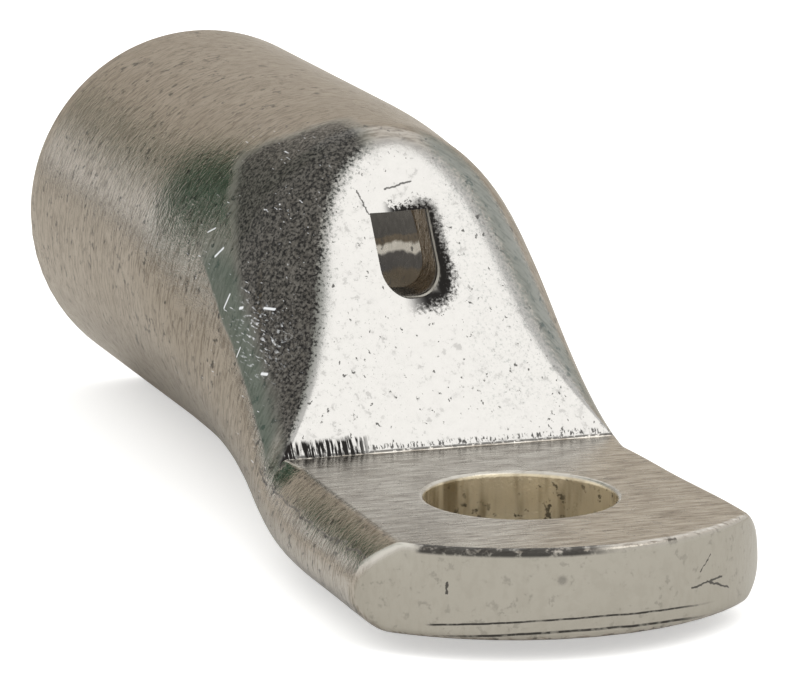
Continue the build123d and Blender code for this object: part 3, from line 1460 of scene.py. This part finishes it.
@dataclass(frozen=True)
class LipHighlights:
    """Painted highlights on the lips of the window, the stud hole and the palm's left corner."""

    window: InspectionWindow
    end_radius: float
    window_depth: float = -0.4
    window_half: float = 0.17
    hole_radius: float = 4.36
    hole_half: float = 0.1
    hole_height: Span = (3.6, 3.8)
    hole_share: float = 0.6
    corner_inset: float = 0.18
    corner_half: float = 0.2
    corner_forward: Span = (0.0, -2.0)
    corner_left: Span = (7.0, 7.5)
    corner_height: Span = (2.2, 3.4)

    def share(self, at: Zones) -> Value:
        """Share of the painted highlights.

        Args:
            at: Zones of the lug.

        Returns:
            The share.
        """
        w = self.window
        beside = at.z.step((-0.1, 0.0), w.sill) * at.z.step((0.1, 0.0), w.head)
        beside = beside * at.y.band(w.centre, w.width)
        window = at.above.band(self.window_depth, self.window_half) * beside
        hole = at.from_stud.band(self.hole_radius, self.hole_half) * at.z.step(self.hole_height)
        corner_radius = self.end_radius - self.corner_inset
        corner = at.from_end_centre.band(corner_radius, self.corner_half)
        corner = corner * at.x.step(self.corner_forward)
        corner = corner * at.y.step(self.corner_left) * at.z.step(self.corner_height)
        return window | hole * self.hole_share | corner


@dataclass(frozen=True)
class ScratchesAndGlints:
    """Bright scratches and painted glints on the left flank, the single glints in the plane of X
    and Z.
    """

    single: tuple[Stroke, ...] = (
        Stroke((21.0, 11.0), (20.55, 11.45), 0.09),
        Stroke((18.63, 9.05), (18.45, 9.7), 0.08),
        Stroke((17.2, 9.3), (17.0, 9.36), 0.1),
        Stroke((15.52, 9.61), (14.95, 9.65), 0.075),
        Stroke((13.75, 6.96), (13.4, 7.0), 0.09),
        Stroke((16.28, 7.25), (16.16, 7.68), 0.06),
        Stroke((22.54, 11.85), (22.05, 12.11), 0.06),
    )
    cluster: Span = (-2.6, 8.2)
    cluster_reach: Span = (2.4, 0.6)
    left: Span = (2.0, 4.0)
    under_ramp: Span = (-0.2, -0.6)
    to_x: Span = (30.0, 20.0)
    hair_share: float = 0.85
    hair_cut: Span = (0.69, 0.73)
    hair_patches: Span = (0.45, 0.55)
    glint_cut: Span = (0.55, 0.68)
    glint_breaks: Span = (0.45, 0.6)
    glint_shares: Span = (0.3, 1.0)

    def share(self, at: Zones, grain: Grain) -> Value:
        """Share of the scratches and the painted glints.

        Args:
            at: Zones of the lug.
            grain: Noises of the finish.

        Returns:
            The share.
        """
        left = at.y.step(self.left) * at.above.step(self.under_ramp) * at.x.step(self.to_x)
        hairs = grain.hairs.step(self.hair_cut) * grain.coarse.step(self.hair_patches)
        # Glints, in a cluster and in single strokes, are painted highlights
        near = at.above.away(at.z, self.cluster).step(self.cluster_reach)
        glints = near * grain.hairs.step(self.glint_cut)
        glints = glints * grain.fine.step(self.glint_breaks).blend(*self.glint_shares)
        return left * ((hairs | glints) * self.hair_share | at.x.strokes(at.z, self.single))


@dataclass(frozen=True)
class TinnedCopper:
    """Matt tin electroplated on pressed copper.

    It is a soft grey metal, slightly pitted. The press polished the ramp, brushing streaks the
    palm, the shear-cut end is smooth and a little darker, partly as painted shade, and copper
    shows warm in the stud hole and the bore.
    """

    tin: str = "#b0a99e"
    worn_tin: str = "#bbb4aa"
    shaded_tin: str = "#857c70"
    brushed_tin: str = "#dcd8cf"
    polished: str = "#b0aeaa"
    sheared_and_shaded: str = "#a7a297"
    pit_and_shade: str = "#211f1d"
    scratch: str = "#e4e6e8"
    lip_highlight: str = "#c4c0b6"
    copper_wall: str = "#e0d2b2"
    stained_wall: str = "#877757"
    matt: float = 0.15
    pressed_roughness: float = 0.22
    brushed: float = 0.24
    drawn: float = 0.3
    relief: float = 0.32
    pressed_relief: float = 0.16
    bore_relief: float = 0.05
    relief_depth: float = 0.1 * MM
    metal_specular: float = 0.5
    dull_specular: float = 0.06
    painted_reflection_bare: float = 0.97
    lip_highlights_bare: float = 0.7
    hole_wall_bare: float = 0.4
    bore_bare: float = 0.25
    rough_swing: float = 0.3
    pit_height: float = 0.5
    stroke_height: float = 0.25
    worn_patches: Span = (0.3, 0.75)
    shaded_strokes: Span = (0.56, 0.36)
    shaded_share: float = 0.85
    brushed_streaks: Span = (0.4, 0.66)
    brushed_share: float = 0.95
    sheared_and_shaded_share: float = 0.9
    wall_per_mm: Place = (0.7, 0.7, 0.12)
    wall_stains: Span = (0.38, 0.62)
    wall_share: float = 0.85
    pit_cut: Span = (0.57, 0.65)
    pit_patches: Span = (0.36, 0.56)
    pit_shares: Span = (0.8, 0.22)
    sizes: TubeSizes = TubeSizes()
    window: InspectionWindow = InspectionWindow()

    def build(self) -> bpy.types.Material:
        """Make the material.

        Returns:
            The material.
        """
        material = bpy.data.materials.new("electroplated_matt_tin")
        material.use_nodes = True
        tree = material.node_tree
        tree.nodes.clear()
        place = add_node(tree, "ShaderNodeTexCoord").outputs["Object"]
        to_mm = (1 / MM, 1 / MM, 1 / MM)
        scaled = add_node(
            tree, "ShaderNodeVectorMath", set_operation="MULTIPLY", at0=place, at1=to_mm
        )
        mm = Value(scaled.outputs[0])
        grain = Grain.over(mm)
        at = Zones.on(mm, grain, self.sizes, ZoneSpans())
        pressed = at.ramp | at.palm | at.end
        painted_reflection, painted_reflection_colour = PaintedFlankReflections().share_and_colour(at, grain)
        marks = [EndMarks(), FlankCrack(), FootChatter()]
        marks += [WindowRim(self.window), RampSpecks(self.window)]
        dark = reduce(Value.__or__, [mark.share(at, grain) for mark in marks])
        scratches_and_glints = ScratchesAndGlints().share(at, grain)
        lip_highlights = LipHighlights(self.window, self.sizes.end_radius).share(at)
        # Painted reflections on the flanks go over the tin's colour
        colour = painted_reflection.paint(self._tin_colour(at, grain, pressed), painted_reflection_colour)
        # Dark marks take the pits' colour: real marks, and painted shade and painted dark
        # reflection at the end's edge and the window's rim
        colour = dark.paint(colour, self.pit_and_shade)
        # Scratches, and painted highlights as glints
        colour = scratches_and_glints.paint(colour, self.scratch)
        # Painted highlights on the lips
        colour = lip_highlights.paint(colour, self.lip_highlight)
        bare = painted_reflection * self.painted_reflection_bare | dark | scratches_and_glints | lip_highlights * self.lip_highlights_bare
        bare = bare | at.hole_wall * self.hole_wall_bare | at.inner * self.bore_bare
        rough = at.ramp.blend(at.palm.blend(self.matt, self.brushed), self.pressed_roughness)
        rough = at.inner.blend(rough, self.drawn) + grain.speckle.swing(self.rough_swing)
        height = grain.fine * self.pit_height + grain.speckle * self.pit_height
        height = height + grain.strokes * self.stroke_height
        relief = pressed.blend(self.relief, self.pressed_relief)
        bump = add_node(
            tree,
            "ShaderNodeBump",
            Height=at.palm.blend(height, grain.streaks),
            Strength=at.inner.blend(relief, self.bore_relief),
            Distance=self.relief_depth,
        )
        surface = add_node(
            tree,
            "ShaderNodeBsdfPrincipled",
            Base_Color=colour,
            Metallic=1.0 - bare,
            Roughness=rough,
            Specular_IOR_Level=(at.inner | dark | painted_reflection).blend(
                self.metal_specular, self.dull_specular
            ),
            Normal=bump.outputs["Normal"],
        )
        add_node(tree, "ShaderNodeOutputMaterial", Surface=surface.outputs["BSDF"])
        return material

    def _tin_colour(self, at: Zones, grain: Grain, pressed: Value) -> Value:
        """Colour of the tin with its pits, and of the copper that shows through it.

        Args:
            at: Zones of the lug.
            grain: Noises of the finish.
            pressed: Share of the flats that a tool touched.

        Returns:
            The colour.
        """
        colour = grain.coarse.step(self.worn_patches).paint(self.tin, self.worn_tin)
        shaded = grain.strokes.step(self.shaded_strokes) * self.shaded_share
        colour = shaded.paint(colour, self.shaded_tin)
        streaked = at.palm * grain.streaks.step(self.brushed_streaks) * self.brushed_share
        colour = streaked.paint(colour, self.brushed_tin)
        colour = at.ramp.paint(colour, self.polished)
        # The end face is painted darker: its shear-cut finish, and painted shade
        colour = (at.end * self.sheared_and_shaded_share).paint(colour, self.sheared_and_shaded)
        upright = at.mm.noise(self.wall_per_mm, 3.0, 0.6).step(self.wall_stains)
        wall = upright.paint(self.stained_wall, self.copper_wall)
        colour = (at.hole_wall * self.wall_share).paint(colour, wall)
        colour = at.inner.paint(colour, BoreBands().colour(at, grain))
        pits = grain.speckle.step(self.pit_cut) * grain.coarse.step(self.pit_patches)
        return (pits * pressed.blend(*self.pit_shares)).paint(colour, self.pit_and_shade)


class SheetKind(Enum):
    """Part that a paper sheet plays in the studio."""

    FLOOR = "floor, which the camera sees white and the metal sees shaded"
    CARD = "card that shows only in reflections"


@dataclass(frozen=True)
class Card:
    """Flat upright card of the studio, in metres."""

    name: str
    colour: str
    corners: tuple[Place, ...]


@dataclass(frozen=True)
class Studio:
    """White floor, reflecting cards, a soft lamp and even room light, in metres and watts."""

    floor_size: float = 3.0
    floor_z: float = -0.00092
    floor_colour: str = "#f4f4f2"
    floor_glow: float = 0.45
    shaded_ground: str = "#c6bfb4"
    shaded_from: Span = (-0.03, 0.06)
    paper_roughness: float = 0.9
    lamp_place: Place = (-0.35, -0.22, 0.62)
    lamp_target: Place = (0.0, 0.0, 0.005)
    lamp_size: float = 0.5
    lamp_power: float = 0.8
    room_light: float = 1.1
    cards: tuple[Card, ...] = (
        Card(
            "green_wall",
            "#40604f",
            (
                (0.32, 0.26, 0.024),
                (0.4, 0.26, 0.035),
                (0.76, 0.26, 0.17),
                (1.34, 0.26, 0.55),
                (1.34, 0.26, 1.2),
                (0.32, 0.26, 0.75),
            ),
        ),
        Card(
            "wall_foot",
            "#565650",
            ((0.3, 0.27, 0.0), (1.6, 0.27, -0.01), (1.6, 0.27, 0.05), (0.3, 0.27, 0.012)),
        ),
        Card(
            "grey_backdrop",
            "#cdc5ba",
            ((1.0, 0.3, -0.0008), (0.75, -0.9, -0.0008), (0.75, -0.9, 0.6), (1.0, 0.3, 0.6)),
        ),
    )

    def build(self) -> None:
        """Make floor, cards, lamp and world."""
        edge = self.floor_size / 2
        corners = [(-edge, -edge), (edge, -edge), (edge, edge), (-edge, edge)]
        corners = [(x, y, self.floor_z) for x, y in corners]
        self._sheet(SheetKind.FLOOR, "white_floor", self.floor_colour, corners)
        for card in self.cards:
            sheet = self._sheet(SheetKind.CARD, card.name, card.colour, list(card.corners))
            sheet.visible_diffuse = False
            sheet.visible_shadow = False
        self._softbox()
        world = bpy.data.worlds.new("studio_room")
        bpy.context.scene.world = world
        world.use_nodes = True
        tree = world.node_tree
        tree.nodes.clear()
        sky = add_node(tree, "ShaderNodeBackground", Color=WHITE, Strength=self.room_light)
        add_node(tree, "ShaderNodeOutputWorld", Surface=sky.outputs["Background"])
        LOG.info("studio: floor, %d cards and a lamp", len(self.cards))

    def _sheet(
        self, kind: SheetKind, name: str, colour: str, corners: list[Place]
    ) -> bpy.types.Object:
        """Flat matt sheet of paper.

        Args:
            kind: Part that it plays.
            name: Its name.
            colour: Its colour.
            corners: Its corners in metres.

        Returns:
            The sheet.
        """
        mesh = bpy.data.meshes.new(name)
        mesh.from_pydata(corners, [], [tuple(range(len(corners)))])
        sheet = bpy.data.objects.new(name, mesh)
        bpy.context.scene.collection.objects.link(sheet)
        material = bpy.data.materials.new(name + "_paper")
        material.use_nodes = True
        tree = material.node_tree
        tree.nodes.clear()
        looks = {"Base_Color": linear_rgb(colour), "Roughness": self.paper_roughness}
        if kind is SheetKind.FLOOR:
            seen = Value(add_node(tree, "ShaderNodeLightPath").outputs["Is Camera Ray"])
            place = seen.node("ShaderNodeTexCoord").outputs["Object"]
            along = Value(seen.node("ShaderNodeSeparateXYZ", Vector=place).outputs[0])
            shade = along.step(self.shaded_from) * (1.0 - seen)
            looks["Base_Color"] = shade.paint(colour, self.shaded_ground)
            looks["Emission_Color"] = WHITE
            looks["Emission_Strength"] = seen * self.floor_glow
        paper = add_node(tree, "ShaderNodeBsdfPrincipled", **looks)
        add_node(tree, "ShaderNodeOutputMaterial", Surface=paper.outputs["BSDF"])
        mesh.materials.append(material)
        return sheet

    def _softbox(self) -> None:
        """Hang the square soft lamp over the lug and turn it to its target."""
        data = bpy.data.lights.new("overhead_softbox", "AREA")
        data.shape = "SQUARE"
        data.size = self.lamp_size
        data.energy = self.lamp_power
        lamp = bpy.data.objects.new("overhead_softbox", data)
        direction = Vector(self.lamp_target) - Vector(self.lamp_place)
        lamp.rotation_euler = direction.to_track_quat("-Z", "Y").to_euler()
        lamp.location = self.lamp_place
        bpy.context.scene.collection.objects.link(lamp)


@dataclass(frozen=True)
class CableLug:
    """The whole lug: one pressed tube with its openings."""

    sizes: TubeSizes = TubeSizes()
    window: InspectionWindow = InspectionWindow()
    hole: StudHole = StudHole()
    sharp_degrees: float = 32.0

    def build(self) -> bpy.types.Object:
        """Make the lug's skin and cut its openings.

        Returns:
            The lug.
        """
        tube = PressedTube(self.sizes)
        marks = PressMarks(tube, self.window, MarkSizes())
        mesh = LugSkin(tube, marks).mesh("pressed_tube")
        lug = bpy.data.objects.new("pressed_tube", mesh)
        bpy.context.scene.collection.objects.link(lug)
        cutters = [self.hole.punch(self.sizes.palm_top), self.window.punch()]
        for cutter in cutters:
            cut = lug.modifiers.new(cutter.name, "BOOLEAN")
            cut.operation = "DIFFERENCE"
            cut.solver = "EXACT"
            cut.object = cutter
        graph = bpy.context.evaluated_depsgraph_get()
        mesh = bpy.data.meshes.new_from_object(lug.evaluated_get(graph))
        lug.modifiers.clear()
        lug.data = mesh
        for cutter in cutters:
            bpy.data.objects.remove(cutter)
        mesh.shade_smooth()
        mesh.set_sharp_from_angle(angle=math.radians(self.sharp_degrees))
        LOG.info("pressed_tube: %d faces", len(mesh.polygons))
        return lug

    def dress(self, lug: bpy.types.Object) -> None:
        """Give the lug its finish and its place in the frame.

        Args:
            lug: The lug from build.
        """
        finish = TinnedCopper(sizes=self.sizes, window=self.window)
        lug.data.materials.append(finish.build())
        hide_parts(CAD_NODE)
        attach(lug, ROOT_BODY)


def main() -> None:
    """Build the scene from the CAD part: the lug, the studio and the camera."""
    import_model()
    bpy.context.scene.view_settings.view_transform = "Standard"
    lug = CableLug()
    lug.dress(lug.build())
    Studio().build()
    PhotoCamera().build()


if __name__ == "__main__":
    main()
